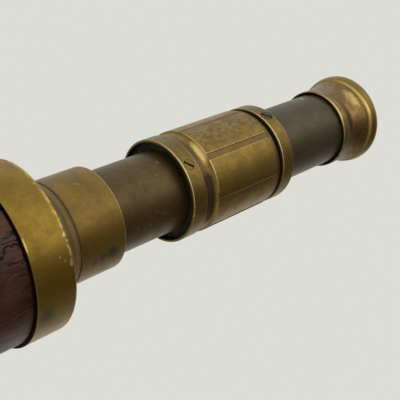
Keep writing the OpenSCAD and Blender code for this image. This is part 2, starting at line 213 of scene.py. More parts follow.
def scratch(angle, z, start, end, size, wide):
    """A line drawn on a cylinder of radius size, from (degrees, height) to (degrees, height)."""
    across = wrap(angle - math.radians(start[0])) * size
    run_x, run_z = math.radians(end[0] - start[0]) * size, end[1] - start[1]
    t = np.clip((across * run_x + (z - start[1]) * run_z) / (run_x ** 2 + run_z ** 2), 0, 1)
    return np.exp(-((across - t * run_x) ** 2 + (z - start[1] - t * run_z) ** 2) / wide ** 2)


def turned(name, corners, angles=None, step=2.0, shape=None, marks=None, reach=0.45):
    """A closed turned piece. Each corner is (radius, height, softness, brightness, darkness), as in
    Corner.
    shape(angle, r, z) gives new radii; marks(angle, r, z, layers) gives the layers that it
    changes: the bright layer (rubbing and painted highlight), the dark layer (grime and painted shade),
    stain, mottle or chip, each from 0 to 1."""
    corners = [Corner(*corner) for corner in corners]
    angles = round_angles() if angles is None else angles
    outline = section(corners, step)
    wear, dirt = corner_marks(outline, corners, reach)
    n, m = len(outline), len(angles)
    angle = np.repeat(angles, n)
    r, z = np.tile(outline[:, 0], m), np.tile(outline[:, 1], m)
    layers = {"wear": np.tile(wear, m), "dirt": np.tile(dirt, m)}
    layers.update({name: np.zeros(n * m) for name in ("stain", "mottle", "chip")})
    if shape:
        r = shape(angle, r, z)
    if marks:
        for layer, values in marks(angle, r, z, layers).items():
            layers[layer] = np.zeros(n * m) + values
    points = on_cylinder(angle, r, z) * MM
    first = np.arange(m)[:, None] * n
    second = (np.arange(m)[:, None] + 1) % m * n
    j, k = np.arange(n)[None, :], (np.arange(n)[None, :] + 1) % n
    faces = np.stack([first + j, second + j, second + k, first + k], 2).reshape(-1, 4)
    return solid(name, points, faces, layers)


def solid(name, points, faces, layers, sharp=SHARP):
    """A mesh object from arrays, smooth except at edges sharper than the given angle."""
    mesh = bpy.data.meshes.new(name)
    mesh.from_pydata(points.tolist(), [], faces.tolist())
    for layer, values in layers.items():
        mesh.attributes.new(layer, "FLOAT", "POINT").data.foreach_set("value", values.astype(np.float32))
    mesh.update()
    work = bmesh.new()
    work.from_mesh(mesh)
    bmesh.ops.recalc_face_normals(work, faces=work.faces)
    work.to_mesh(mesh)
    work.free()
    mesh.shade_smooth()
    mesh.set_sharp_from_angle(angle=math.radians(sharp))
    return added(name, mesh)


def added(name, data):
    """A new object in the scene."""
    piece = bpy.data.objects.new(name, data)
    bpy.context.scene.collection.objects.link(piece)
    return piece


def mesh_from(work, name):
    """A mesh from a finished bmesh."""
    mesh = bpy.data.meshes.new(name)
    work.to_mesh(mesh)
    work.free()
    return mesh


def cut_away(piece, cutters):
    """Cuts the cutters out of a piece and removes them."""
    for cutter in cutters:
        change = piece.modifiers.new("cut", "BOOLEAN")
        change.operation = "DIFFERENCE"
        change.solver = "EXACT"
        change.object = cutter
    graph = bpy.context.evaluated_depsgraph_get()
    mesh = bpy.data.meshes.new_from_object(piece.evaluated_get(graph))
    piece.modifiers.clear()
    piece.data = mesh
    mesh.set_sharp_from_angle(angle=math.radians(SHARP))
    for cutter in cutters:
        bpy.data.objects.remove(cutter)


def place(piece, body, slot, material, *nodes):
    """Gives a finished piece its material, hands it to its body and hides the CAD nodes that it stands
    for. The slot is not used.
    """
    piece.data.materials.clear()
    piece.data.materials.append(material)
    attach(piece, body)
    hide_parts(*nodes)


# ---- Node materials ----
class Nodes:
    """A node tree, and short ways to add nodes to it."""

    def __init__(self, tree):
        self.tree = tree

    def add(self, kind):
        return self.tree.nodes.new(kind)

    def feed(self, socket, value):
        if isinstance(value, bpy.types.NodeSocket):
            self.tree.links.new(value, socket)
        else:
            socket.default_value = value

    def operate(self, kind, operation, a, b):
        node = self.add(kind)
        node.operation = operation
        self.feed(node.inputs[0], a)
        self.feed(node.inputs[1], b)
        return node

    def math(self, operation, a, b, clamp=False):
        node = self.operate("ShaderNodeMath", operation, a, b)
        node.use_clamp = clamp
        return node.outputs[0]

    def vector(self, operation, a, b, output="Vector"):
        return self.operate("ShaderNodeVectorMath", operation, a, b).outputs[output]

    def total(self, *pairs):
        """Sum of values, each multiplied by its share."""
        result = 0.0
        for value, share in pairs:
            result = self.math("ADD", result, self.math("MULTIPLY", value, share))
        return result

    def spread(self, value, start, end, to_start=0.0, to_end=1.0):
        """A smooth step from to_start to to_end while the value goes from start to end."""
        node = self.add("ShaderNodeMapRange")
        node.interpolation_type = "SMOOTHSTEP"
        self.feed(node.inputs["Value"], value)
        numbers = {"From Min": start, "From Max": end, "To Min": to_start, "To Max": to_end}
        for socket, number in numbers.items():
            node.inputs[socket].default_value = number
        return node.outputs[0]

    def mix(self, factor, a, b):
        """A colour from a to b."""
        node = self.add("ShaderNodeMix")
        node.data_type = "RGBA"
        self.feed(node.inputs[0], factor)
        self.feed(node.inputs[6], a if isinstance(a, bpy.types.NodeSocket) else (*a, 1))
        self.feed(node.inputs[7], b if isinstance(b, bpy.types.NodeSocket) else (*b, 1))
        return node.outputs[2]


class Shader(Nodes):
    """A node material with one Principled shader. Sizes and depths are in millimetres."""

    def __init__(self, name):
        self.material = bpy.data.materials.new(name)
        self.material.use_nodes = True
        super().__init__(self.material.node_tree)
        self.bsdf = self.tree.nodes["Principled BSDF"]
        self.coordinates = self.add("ShaderNodeTexCoord").outputs["Object"]

    def set(self, name, value):
        self.feed(self.bsdf.inputs[name], value)

    def noise(self, size, detail=3.0, rough=0.5, stretch=(1, 1, 1), shift=0.0):
        """Noise whose features are about size across, longer where stretch is large."""
        moved = self.vector("ADD", self.coordinates, (shift, shift, shift))
        node = self.add("ShaderNodeTexNoise")
        self.feed(node.inputs["Vector"], self.vector("DIVIDE", moved, stretch))
        node.inputs["Scale"].default_value = 1 / (size * MM)
        node.inputs["Detail"].default_value = detail
        node.inputs["Roughness"].default_value = rough
        return node.outputs["Fac"]

    def cells(self, size, feature="F1", stretch=(1, 1, 1)):
        """Distance from the middle of cells about size across."""
        node = self.add("ShaderNodeTexVoronoi")
        node.feature = feature
        self.feed(node.inputs["Vector"], self.vector("DIVIDE", self.coordinates, stretch))
        node.inputs["Scale"].default_value = 1 / (size * MM)
        return node.outputs["Distance"]

    def layer(self, name):
        node = self.add("ShaderNodeAttribute")
        node.attribute_name = name
        return node.outputs["Fac"]

    def uneven(self, name, noise, amount):
        """A layer with its edges broken up by a noise."""
        change = self.math("MULTIPLY", self.math("SUBTRACT", noise, 0.5), amount)
        return self.math("ADD", self.layer(name), change)

    def bump(self, height, depth, under=None):
        """Relief of a height from 0 to 1, over an earlier bump."""
        node = self.add("ShaderNodeBump")
        node.inputs["Strength"].default_value = 1.0
        node.inputs["Distance"].default_value = depth * MM
        self.feed(node.inputs["Height"], height)
        if under:
            self.feed(node.inputs["Normal"], under)
        return node.outputs[0]


# near black, used for pits and grime and also for painted shade
SOOT_AND_SHADE = (0.010, 0.008, 0.006)
GREEN_STAIN = (0.080, 0.084, 0.022)
BARE = (0.64, 0.56, 0.25)


def aged_brass(name, bright, tarnish, deep, rough=0.42, blotch=9.0, contrast=0.5, metal=0.95, coat=0.36,
               stain=GREEN_STAIN, spots=(0.15, 0.088, 0.038), pits=0.5):
    """Tarnished turned brass: clouds of darker patina, fine turning lines, bright edges from rubbing and
    painted highlight, dark pits, nicks, and stains, spots, grime and painted shade where the layers say
    so."""
    s = Shader(name)
    cloud = s.noise(blotch, 5, 0.62)
    grain = s.noise(0.9, 3, 0.6, shift=0.3)
    turning = s.noise(0.35, 2, 0.5, stretch=(60, 60, 1))
    rubbing = s.noise(0.5, 3, 0.55, stretch=(1, 1, 14), shift=0.7)
    tone = s.total((cloud, 0.62), (grain, 0.2), (turning, 0.08), (rubbing, 0.1))
    half = 0.22 / (1 + 2 * contrast)
    colour = s.mix(s.spread(tone, 0.5 - half, 0.5 + half), deep, tarnish)
    blots = s.spread(s.noise(1.4, 4, 0.66, stretch=(1, 1, 1.9), shift=0.5), 0.44, 0.62)
    colour = s.mix(s.math("MULTIPLY", blots, s.layer("mottle")), colour, spots)
    colour = s.mix(s.layer("stain"), colour, stain)
    # the bright layer: rubbed wear and painted highlight
    wear = s.spread(s.uneven("wear", grain, 0.32), 0.22, 0.9)
    colour = s.mix(wear, colour, bright)
    nick = s.math("SUBTRACT", 1.0, s.spread(s.cells(5.5, stretch=(1, 1, 2.2)), 0.022, 0.045))
    nick = s.math("MULTIPLY", nick, s.spread(cloud, 0.5, 0.56))
    colour = s.mix(s.math("MULTIPLY", nick, 0.6), colour, bright)
    specks = s.math("MULTIPLY", s.spread(s.noise(0.6, 2, 0.5, shift=0.11), 0.66, 0.74), pits)
    colour = s.mix(specks, colour, SOOT_AND_SHADE)
    chip = s.spread(s.uneven("chip", grain, 0.9), 0.42, 0.58)
    colour = s.mix(chip, colour, BARE)
    # the dark layer: grime and painted shade
    dirt = s.spread(s.uneven("dirt", cloud, 0.3), 0.15, 0.8)
    colour = s.mix(dirt, colour, SOOT_AND_SHADE)
    s.set("Base Color", colour)
    s.set("Metallic", s.math("SUBTRACT", metal, s.math("MULTIPLY", dirt, 0.8)))
    roughness = s.spread(tone, 0.35, 0.65, rough + 0.07, rough - 0.05)
    roughness = s.math("ADD", roughness, s.math("MULTIPLY", dirt, 0.3))
    roughness = s.math("SUBTRACT", roughness, s.math("MULTIPLY", wear, 0.08), clamp=True)
    s.set("Roughness", roughness)
    s.set("Coat Weight", s.math("SUBTRACT", coat, s.math("MULTIPLY", dirt, coat)))
    s.set("Specular IOR Level", s.math("SUBTRACT", 0.5, s.math("MULTIPLY", dirt, 0.4)))
    s.set("Coat Roughness", 0.36)
    relief = s.bump(turning, 0.003)
    relief = s.bump(rubbing, 0.0018, relief)
    relief = s.bump(grain, 0.006, relief)
    relief = s.bump(s.math("SUBTRACT", 1.0, s.math("MAXIMUM", specks, chip)), 0.03, relief)
    s.set("Normal", relief)
    return s.material


def black_paint():
    """Matt optical black over brass."""
    s = Shader("blackened_brass")
    grain = s.noise(0.5, 3, 0.6)
    cloud = s.spread(s.noise(6, 4), 0.35, 0.7)
    s.set("Base Color", s.mix(cloud, (0.024, 0.019, 0.011), (0.052, 0.042, 0.024)))
    s.set("Roughness", s.spread(grain, 0.3, 0.7, 0.55, 0.8))
    s.set("Specular IOR Level", 0.22)
    s.set("Normal", s.bump(grain, 0.01))
    return s.material


def dark_steel():
    """Blued and darkened screw steel, filed in one direction."""
    s = Shader("screw_steel")
    filing = s.noise(0.12, 2, 0.5, stretch=(12, 12, 1))
    s.set("Base Color", s.mix(s.spread(filing, 0.3, 0.7), (0.085, 0.070, 0.045), (0.16, 0.135, 0.085)))
    s.set("Metallic", 1.0)
    s.set("Roughness", s.spread(filing, 0.3, 0.7, 0.34, 0.5))
    s.set("Normal", s.bump(filing, 0.004))
    return s.material


def lens_glass():
    """Clear polished glass with a faint green in its depth and a breath of dust."""
    s = Shader("optical_glass")
    s.set("Base Color", s.mix(s.spread(s.noise(7, 4), 0.3, 0.7), (0.93, 0.98, 0.96), (0.86, 0.94, 0.91)))
    s.set("Roughness", s.spread(s.noise(1.2, 4, 0.6), 0.55, 0.8, 0.02, 0.12))
    s.set("Transmission Weight", 1.0)
    s.set("IOR", 1.52)
    return s.material


def pressed_felt():
    s = Shader("felt")
    fibres = s.noise(0.3, 4, 0.7)
    s.set("Base Color", s.mix(fibres, (0.02, 0.022, 0.016), (0.06, 0.06, 0.045)))
    s.set("Roughness", 0.95)
    s.set("Normal", s.bump(fibres, 0.08))
    return s.material


def old_leather():
    """Dark red-brown leather: fine pebble grain, a lighter rubbed colour that also paints its sheen, and
    cracks black inside.
    """
    s = Shader("barrel_leather")
    cloud = s.noise(14, 5, 0.6)
    pebble = s.cells(0.75, "SMOOTH_F1", (1, 1, 1.6))
    fine = s.noise(0.4, 4, 0.65)
    drawn = s.noise(0.45, 4, 0.6, stretch=(1, 1, 9), shift=0.2)
    tone = s.total((cloud, 0.7), (drawn, 0.3))
    colour = s.mix(s.spread(tone, 0.36, 0.64), (0.036, 0.0075, 0.0028), (0.082, 0.022, 0.0095))
    # lighter where rubbed; on the lit front this is a painted sheen
    colour = s.mix(s.math("MULTIPLY", s.layer("wear"), 0.7), colour, (0.16, 0.082, 0.056))
    # near black in cracks and along the seam; the darkening in creases is painted shade
    colour = s.mix(s.layer("dirt"), colour, (0.005, 0.003, 0.003))
    s.set("Base Color", colour)
    gloss = s.spread(s.total((cloud, 0.6), (fine, 0.4)), 0.3, 0.7, 0.30, 0.44)
    s.set("Roughness", s.math("ADD", gloss, s.math("MULTIPLY", s.layer("dirt"), 0.3)))
    s.set("Specular IOR Level", 0.40)
    relief = s.bump(pebble, 0.03)
    relief = s.bump(fine, 0.016, relief)
    relief = s.bump(drawn, 0.04, relief)
    s.set("Normal", relief)
    return s.material


# ---- The ring screws' places, read from the CAD screws ----
def screw_places(node):
    """(angle, height) in radians and millimetres of each screw of a node, the nearest to -Y first."""
    mesh = frame["nodes"][node].data
    at = np.array([v.co for v in mesh.vertices], float).reshape(-1, 3)
    sorted_angle = np.sort(np.arctan2(at[:, 0], -at[:, 1]))
    gaps = np.diff(np.append(sorted_angle, sorted_angle[0] + 2 * math.pi))
    start = int(np.argmax(gaps)) + 1
    turned_on = np.roll(sorted_angle, -start)
    turned_on = np.where(turned_on < turned_on[0], turned_on + 2 * math.pi, turned_on)
    breaks = np.where(np.diff(turned_on) > 0.3)[0] + 1
    height = (at[:, 2].min() + at[:, 2].max()) / 2 / MM
    middles = [wrap(float((part.min() + part.max()) / 2)) for part in np.split(turned_on, breaks)]
    return [(middle, height) for middle in sorted(middles, key=abs)]


def on_side(angle, height, out):
    """Matrix that stands a piece made on +Z at that place on the side of a cylinder, facing out."""
    outward = Vector((math.sin(angle), -math.cos(angle), 0))
    along = Vector((0, 0, 1))
    across = along.cross(outward)
    turn = Matrix((across, along, outward)).transposed().to_4x4()
    return Matrix.Translation(outward * out * MM + along * height * MM) @ turn


def plug_at(angle, height, out, size, depth=3):
    """A plain cylinder through the side of a ring, as a cutter."""
    work = bmesh.new()
    bmesh.ops.create_cone(
        work, cap_ends=True, segments=64, radius1=size * MM, radius2=size * MM, depth=depth * MM,
        matrix=on_side(angle, height, out + depth / 2))
    return added("cutter", mesh_from(work, "cutter"))


def screws(name, node, ring_r, seat_r, head_r, slot_turns, slot_w=0.75):
    """Slotted cheese-head screws whose tops follow the ring, as one piece. The slots' turns are
    in degrees."""
    parts = []
    slot_deep, proud = 0.8, 0.02
    for (angle, height), turn in zip(screw_places(node), slot_turns):
        head = turned_disc(head_r, ring_r - seat_r)
        work = bmesh.new()
        bmesh.ops.create_cube(work, size=1, matrix=Matrix.Rotation(math.radians(turn), 4, "Z")
                              @ Matrix.Diagonal((2.4 * head_r * MM, slot_w * MM, 2 * slot_deep * MM, 1)))
        cut_away(head, [added("slot", mesh_from(work, "slot"))])
        # bend the head to the curve of the ring
        for vertex in head.data.vertices:
            x = vertex.co.x / MM
            vertex.co.z -= (ring_r - math.sqrt(max(0, ring_r ** 2 - x * x))) * MM
        head.data.transform(on_side(angle, height, ring_r + proud))
        parts.append(head)
    return joined(name, parts)


def turned_disc(size, depth):
    """A screw head standing on +Z, its top at z = 0, with a soft edge."""
    work = bmesh.new()
    count, edge = 64, 0.12
    rings = [(size - edge * 1.6, 0.0), (size - edge * 0.5, -edge * 0.3), (size, -edge), (size, -depth)]
    loops = [[work.verts.new((r * math.cos(a) * MM, r * math.sin(a) * MM, z * MM))
              for a in round_angles(count)] for r, z in rings]
    work.faces.new(loops[0])
    work.faces.new(list(reversed(loops[-1])))
    for a, b in zip(loops, loops[1:]):
        for i in range(count):
            j = (i + 1) % count
            work.faces.new((a[i], b[i], b[j], a[j]))
    bmesh.ops.recalc_face_normals(work, faces=work.faces)
    mesh = mesh_from(work, "screw_head")
    mesh.shade_smooth()
    return added("screw_head", mesh)


def joined(name, parts):
    """One object made of several."""
    work = bmesh.new()
    for part in parts:
        work.from_mesh(part.data)
    mesh = mesh_from(work, name)
    mesh.set_sharp_from_angle(angle=math.radians(SHARP))
    for part in parts:
        bpy.data.objects.remove(part)
    return added(name, mesh)


# ---- Sizes that several pieces share ----
tube_r = radius("draw_tube")
barrel_r = radius("barrel_tube")
ferrule_r = radius("rear_ferrule")
collar_r = radius("draw_collar")
ring_r = radius("front_ring")
sleeve_r = radius("focus_sleeve")
spigot_r = collar_r - 1.15
packing_r = collar_r - 1.25
core_r = tube_r + 1.5
ferrule_top = high("rear_ferrule")
head_bottom = low("front_ring")
cup_bottom = low("eyecup")

# ---- Materials ----
ferrule_brass = aged_brass(
    "ferrule_brass", (0.66, 0.50, 0.13), (0.345, 0.222, 0.028), (0.265, 0.160, 0.018))
collar_brass = aged_brass(
    "collar_brass", (0.52, 0.38, 0.14), (0.285, 0.180, 0.030), (0.215, 0.130, 0.023), 0.46,
    metal=0.85, stain=(0.080, 0.070, 0.026))
foot_brass = aged_brass(
    "collar_foot_brass", (0.34, 0.26, 0.12), (0.240, 0.155, 0.044), (0.190, 0.118, 0.032), 0.6,
    metal=0.3, coat=0.3)
tube_brass = aged_brass(
    "draw_tube_brass", (0.36, 0.28, 0.15), (0.140, 0.092, 0.027), (0.104, 0.067, 0.020), 0.48,
    blotch=7, contrast=0.3, pits=0.3, metal=0.8, spots=(0.070, 0.036, 0.014))
ring_brass = aged_brass(
    "ring_brass", (1.00, 0.86, 0.50), (0.265, 0.178, 0.033), (0.195, 0.126, 0.022),
    spots=(0.12, 0.066, 0.028))
sleeve_brass = aged_brass(
    "sleeve_brass", (0.90, 0.67, 0.25), (0.325, 0.215, 0.040), (0.248, 0.158, 0.029),
    blotch=6, contrast=0.8, stain=(0.140, 0.078, 0.036))
eye_tube_brass = aged_brass(
    "eyepiece_tube_brass", (0.34, 0.28, 0.18), (0.104, 0.079, 0.040), (0.080, 0.060, 0.031), 0.48,
    blotch=9, contrast=0.2, pits=0.2, metal=0.75, spots=(0.060, 0.040, 0.024))
cup_brass = aged_brass(
    "eyecup_brass", (0.98, 0.69, 0.27), (0.300, 0.196, 0.064), (0.215, 0.130, 0.042), 0.38,
    blotch=6, contrast=0.8, stain=(0.262, 0.172, 0.012))
cell_brass = aged_brass(
    "aged_brass", (0.62, 0.46, 0.16), (0.33, 0.22, 0.045), (0.25, 0.16, 0.03))
screw_brass = aged_brass(
    "screw_brass", (0.50, 0.42, 0.22), (0.235, 0.180, 0.060), (0.180, 0.130, 0.045), 0.5)
black = black_paint()
steel = dark_steel()
glass = lens_glass()
felt = pressed_felt()
leather = old_leather()


# ---- Pieces ----
def make_leather_cover():
    """The leather, wrapped round the barrel: long shallow creases, short cracks near its ends and
    a butted seam at the back."""
    bottom, top = low("leather_cover"), high("leather_cover")
    outer, inner = radius("leather_cover"), barrel_r + FIT
    # rows are closer together at the cracked end, and columns on the side that shows
    plain = np.linspace(bottom, top - CRACKED_END, 320, endpoint=False)
    tall = np.concatenate([plain, np.linspace(top - CRACKED_END, top, 96)])
    shown = np.arange(-40, 50, 0.25)
    angles = np.radians(np.concatenate([shown, np.arange(50, 320, 0.75)]))
    count = len(angles)
    angle, z = np.meshgrid(angles, tall, indexing="ij")
    angle, z = angle.ravel(), z.ravel()
    on = on_cylinder(angle, outer, z)
    drift = cloud_noise(on / 4.0, 5)[:, None] * [1.6, 1.6, 2.5]
    creases = 1 - np.abs(2 * cloud_noise((on + drift) / [2.2, 2.2, 11.0], 11, 3) - 1)
    cracks = 1 - np.abs(2 * cloud_noise((on + drift) / [1.1, 1.1, 7.0], 23, 1) - 1)
    creases = ramp(creases, 0.86, 0.14) ** 1.4
    cracks = ramp(cracks, 0.80, 0.12)
    near_end = bell(z, top, 9) + bell(z, bottom, 9)
    patches = ramp(cloud_noise(on / 24.0, 41, 2), 0.5, 1 / 6)
    broken = ramp(cloud_noise(on / [1.5, 1.5, 2.4], 67, 2), 0.44, 1 / 7)
    # a rubbed spot near -6 degrees at the rear end: more cracks there, and a painted sheen through the
    # bright layer
    worn = blob(angle, z, -6, top - 4, 7.5, 9, outer)
    cracks = cracks * broken * np.clip(0.3 * near_end * patches + 0.12 * patches + 1.5 * worn, 0, 1)
    swell = cloud_noise(on / [4, 4, 10], 31, 3) - 0.5
    seam = bell(wrap(angle - math.pi) * outer, 0, 0.35)
    end = bell(z, top, 0.2) + bell(z, bottom, 0.2)
    r = outer - 0.1 + 0.1 * swell - 0.05 * creases - 0.22 * cracks - 0.4 * seam - 0.1 * end
    # lighter on raised spots and in the rubbed spot, where it is a painted sheen
    wear = np.clip(swell * 1.8 + 0.15, 0, 1) * np.clip(0.3 + 0.5 * patches + 0.6 * worn, 0, 1)
    # darker in creases as painted shade; black in the cracks and along the seam
    dirt = np.clip(0.3 * creases + 1.0 * cracks + 0.9 * seam, 0, 1)
    outside = on_cylinder(angle, r, z) * MM
    lining = [on_cylinder(angles, inner, np.full(count, level)) * MM for level in (bottom, top)]
    n = len(tall)
    i = np.arange(count)
    following = (i + 1) % count
    a, b, j = i[:, None] * n, following[:, None] * n, np.arange(n - 1)[None, :]
    skin = np.stack([a + j, b + j, b + j + 1, a + j + 1], 2).reshape(-1, 4)
    under, over = count * n + i, count * n + count + i
    next_under, next_over = count * n + following, count * n + count + following
    bore = np.stack([under, over, next_over, next_under], 1)
    foot = np.stack([i * n, under, next_under, following * n], 1)
    head = np.stack([i * n + n - 1, following * n + n - 1, next_over, over], 1)
    faces = np.concatenate([skin, bore, foot, head])
    unmarked = np.zeros(2 * count)
    layers = {"wear": np.concatenate([wear, unmarked]), "dirt": np.concatenate([dirt, unmarked])}
    piece = solid("leather_wrap", np.concatenate([outside, *lining]), faces, layers, 60)
    place(piece, "barrel", "barrel_leather", leather, "leather_cover")


def make_rear_ferrule():
    """The broad ring at the back of the barrel: black on its front face, chipped on its back edge."""
    bottom, top = low("rear_ferrule"), high("rear_ferrule")
    seat = high("barrel_tube")
    # the inner corner at the back face is darkened as painted shade
    corners = [
        (barrel_r + FIT, bottom), (ferrule_r, bottom, 0.2), (ferrule_r, top, 0.8, 0.2),
        (spigot_r + FIT, top, 0, 0, 0.9), (spigot_r + FIT, seat), (barrel_r + FIT, seat)]
    chips = [
        (3.2, top - 1.1, 0.55, 0.6, 1), (1.8, top - 0.8, 0.4, 0.3, 1), (9.6, top - 1.0, 0.6, 0.35, 1),
        (6.6, top - 0.6, 0.5, 0.3, 1), (14.0, top - 0.8, 1.1, 0.45, 1), (11.8, top - 0.6, 0.5, 0.3, 1),
        (20.6, top - 1.3, 0.6, 0.6, 1), (18.6, top - 1.1, 0.8, 0.4, 1), (14.3, top - 4.4, 0.4, 0.3, 1),
        (17.4, top - 2.9, 0.4, 0.3, 1)]
    stains = [(49.4, bottom + 3.0, 3.0, 2.3, 0.95), (55, bottom + 5, 5.5, 4.5, 0.35)]

    def marks(angle, r, z, layers):
        noise = cloud_noise(on_cylinder(angle, r, z) / [1.3, 1.3, 0.9], 77, 2)
        degrees = np.degrees(wrap(angle))
        down = top - z
        line = bell(down, 0.5, 0.6) * ramp(noise, 0.3, 1 / 3)
        zone = bell(down, 0, 2.4) * (0.6 + 0.7 * noise)
        upper = ramp(degrees, -75, 14) * ramp(degrees, 8, -10)
        side = r > ferrule_r - 0.7
        # a rubbed band on the back edge, kept to the side toward the light, so that it is partly painted
        # highlight
        wear = np.maximum(layers["wear"], side * upper * (0.48 * zone + 0.28 * line))
        # painted highlight on the front edge, where the light catches it
        wear = np.maximum(wear, 1.1 * blob(angle, z, 0.7, bottom + 0.35, 2.6, 0.4, ferrule_r))
        chip = side * np.clip(blobs(angle, z, chips, ferrule_r), 0, 1)
        stain = blobs(angle, z, stains, ferrule_r)
        # the front face is painted near black: painted shade where it faces the leather
        face = (z < bottom + 0.03) & (r < ferrule_r - 0.1)
        dirt = np.where(face, 1.0, layers["dirt"])
        return {"wear": wear, "dirt": dirt, "stain": stain, "chip": chip, "mottle": 0.1}

    piece = turned("ferrule_rear", corners, round_angles(640), 0.5, marks=marks)
    place(piece, "barrel", "ferrule_brass", ferrule_brass, "rear_ferrule")


def make_front_ferrule():
    """The grooved ring at the front of the barrel."""
    bottom, top = low("front_ferrule"), high("front_ferrule")
    seat = low("barrel_tube")
    cell_r = barrel_r - BARREL_WALL + FIT
    groove_r = ferrule_r - 0.35
    # the fine groove's corners are darkened as painted shade
    corners = [
        (cell_r, bottom), (ferrule_r, bottom, 0.5, 0.5, 0.2), (ferrule_r, top - 2.2, 0.2, 0.2),
        (groove_r, top - 2.0, 0.1, 0, 0.8), (groove_r, top - 1.6, 0.1, 0, 0.8),
        (ferrule_r, top - 1.4, 0.2, 0.2), (ferrule_r, top, 0.4, 0.5), (barrel_r + FIT, top),
        (barrel_r + FIT, seat), (cell_r, seat)]
    piece = turned("ferrule_front", corners)
    place(piece, "barrel", "aged_brass", cell_brass, "front_ferrule")


def make_objective_cell():
    """The cell: bevelled mouth, cap seat, knurled grip and the spigot that enters the ferrule."""
    top = high("objective_cell")
    grip_top = low("front_ferrule") - 0.05
    grip_r = ferrule_r + 1.0
    seat_r = ferrule_r + 0.2
    grip_low = grip_top - 3.0
    mouth_r, lens_r = 21.2, radius("objective_crown_lens") + 0.1
    lip = low("objective_spacer") - 3.4
    spigot = barrel_r - BARREL_WALL
    # the inner corners are darkened as painted shade
    corners = [
        (mouth_r, lip / 2, 0.5, 0.3), (mouth_r + 2.3, 0.0, 0.4, 0.5),
        (seat_r, 0.0, 0.8, 0.7), (seat_r, grip_low, 0.1, 0, 0.8),
        (grip_r, grip_low + 0.4, 0.3, 0.5), (grip_r, grip_top - 0.4, 0.3, 0.5),
        (grip_r - 0.4, grip_top), (spigot, grip_top, 0, 0, 0.8), (spigot, top),
        (lens_r, top), (lens_r, lip), (mouth_r, lip, 0.2)]
    teeth = 120

    def shape(angle, r, z):
        band = ramp(z, grip_low + 0.35, 0.25) * ramp(z, grip_top - 0.3, -0.25)
        wave = 0.5 + 0.5 * np.cos(angle * teeth)
        return r - 0.42 * band * (1 - wave ** 0.7) * (r > seat_r + 0.3)

    def marks(angle, r, z, layers):
        knurled = (z > grip_low + 0.2) & (z < grip_top - 0.2) & (r > seat_r - 0.4)
        crest = 0.5 + 0.5 * np.cos(angle * teeth)
        wear = np.where(knurled, np.maximum(layers["wear"] * crest, 0.55 * crest ** 3), layers["wear"])
        # knurl valleys darkened as painted shade
        dirt = np.where(knurled, np.maximum(layers["dirt"], 0.85 * (1 - crest) ** 2), layers["dirt"])
        return {"wear": wear, "dirt": dirt, "mottle": 0.3}

    piece = turned("cell_knurled", corners, round_angles(teeth * 8), 0.8, shape, marks)
    place(piece, "barrel", "aged_brass", cell_brass, "objective_cell")


def make_collar():
    """The collar that guides the draw tube: a greyer foot, a fine joint line and the collar itself."""
    base_low, base_top = low("collar_base"), high("collar_base")
    bush_r, bush_top = radius("guide_bush") + FIT, high("guide_bush") + FIT
    liner_low = low("friction_liner")
    # the corner against the ferrule is darkened as painted shade
    corners = [
        (bush_r, base_low), (spigot_r, base_low), (spigot_r, ferrule_top),
        (collar_r, ferrule_top, 0.1, 0, 1.0), (collar_r, base_top, 0.16, 0, 0.4),
        (packing_r, base_top), (packing_r, liner_low), (tube_r + 0.4, liner_low),
        (tube_r + 0.4, bush_top), (bush_r, bush_top)]

    def foot_marks(angle, r, z, layers):
        below = bell(np.degrees(wrap(angle)), 42, 26)
        # painted shade next to the ferrule, lighter on the side near 42 degrees
        shaded = (0.62 - 0.2 * below) * ramp(z, ferrule_top + 5.6, -1.5)
        stripe = 0.5 * bell(z, base_top - 1.2, 0.5)
        line = 0.5 * bell(z, base_top - 2.3, 0.3) + 0.4 * bell(z, base_top, 0.6)
        return {"dirt": np.maximum(layers["dirt"], np.maximum(shaded, line)), "wear": stripe}

    foot = turned("collar_foot", corners, step=0.6, marks=foot_marks)
    place(foot, "barrel", "collar_brass", foot_brass, "collar_base")
    spigot_low, top = low("draw_collar"), high("draw_collar")
    joint = base_top + JOINT_GAP
    bore_r, waist_r = tube_r + 0.09, collar_r - 0.18
    corners = [
        (bore_r, spigot_low), (packing_r - FIT, spigot_low), (packing_r - FIT, base_top + FIT),
        (waist_r, base_top + FIT, 0, 0, 0.4), (waist_r, joint, 0, 0, 0.4),
        (collar_r, joint, 0.16, 0, 0.4), (collar_r, top - 0.25, 0.12, 1.0),
        (collar_r - 0.35, top, 0.2, 0.7), (tube_r + 0.5, top, 0, 0, 0.5), (bore_r, top - 0.4)]
    nick = (-42, joint + 8.0), (-39, joint + 9.2)
    stains = [
        (45, joint + 12.2, 2.2, 1.9, 1.3), (46, joint + 8.3, 1.5, 1.0, 0.75),
        (50, joint + 5.0, 1.4, 0.9, 0.7)]

    def collar_marks(angle, r, z, layers):
        noise = cloud_noise(on_cylinder(angle, r, z) / 1.1, 63, 2)
        stain = blobs(angle, z, stains, collar_r)
        stain = np.clip((stain + 1.0 * (noise - 0.6)) * 1.7, 0, 1) * (stain > 0.1)
        dirt = np.maximum(layers["dirt"], 0.42 * bell(z, joint, 0.9))
        wear = np.maximum(layers["wear"], 0.9 * scratch(angle, z, *nick, collar_r, 0.22))
        return {"wear": wear, "stain": stain, "dirt": dirt, "mottle": 0.08 + 0.12 * noise}

    collar = turned("collar_guide", corners, round_angles(448), 0.6, marks=collar_marks, reach=0.28)
    place(collar, "barrel", "collar_brass", collar_brass, "draw_collar")


def make_tube(name, node, body, material, marks, shown):
    """A plain tube, finely divided where it shows, so that small nicks can be marked on it."""
    bottom, top = low(node), high(node)
    outer = radius(node)
    inner = outer - TUBE_WALL
    row = 0.4
    fine = [(outer, z) for z in np.arange(*shown, row)]
    corners = [(inner, bottom), (outer, bottom), *fine, (outer, top), (inner, top)]
    piece = turned(name, corners, step=1.5, marks=marks)
    place(piece, body, node + "_brass", material, node)


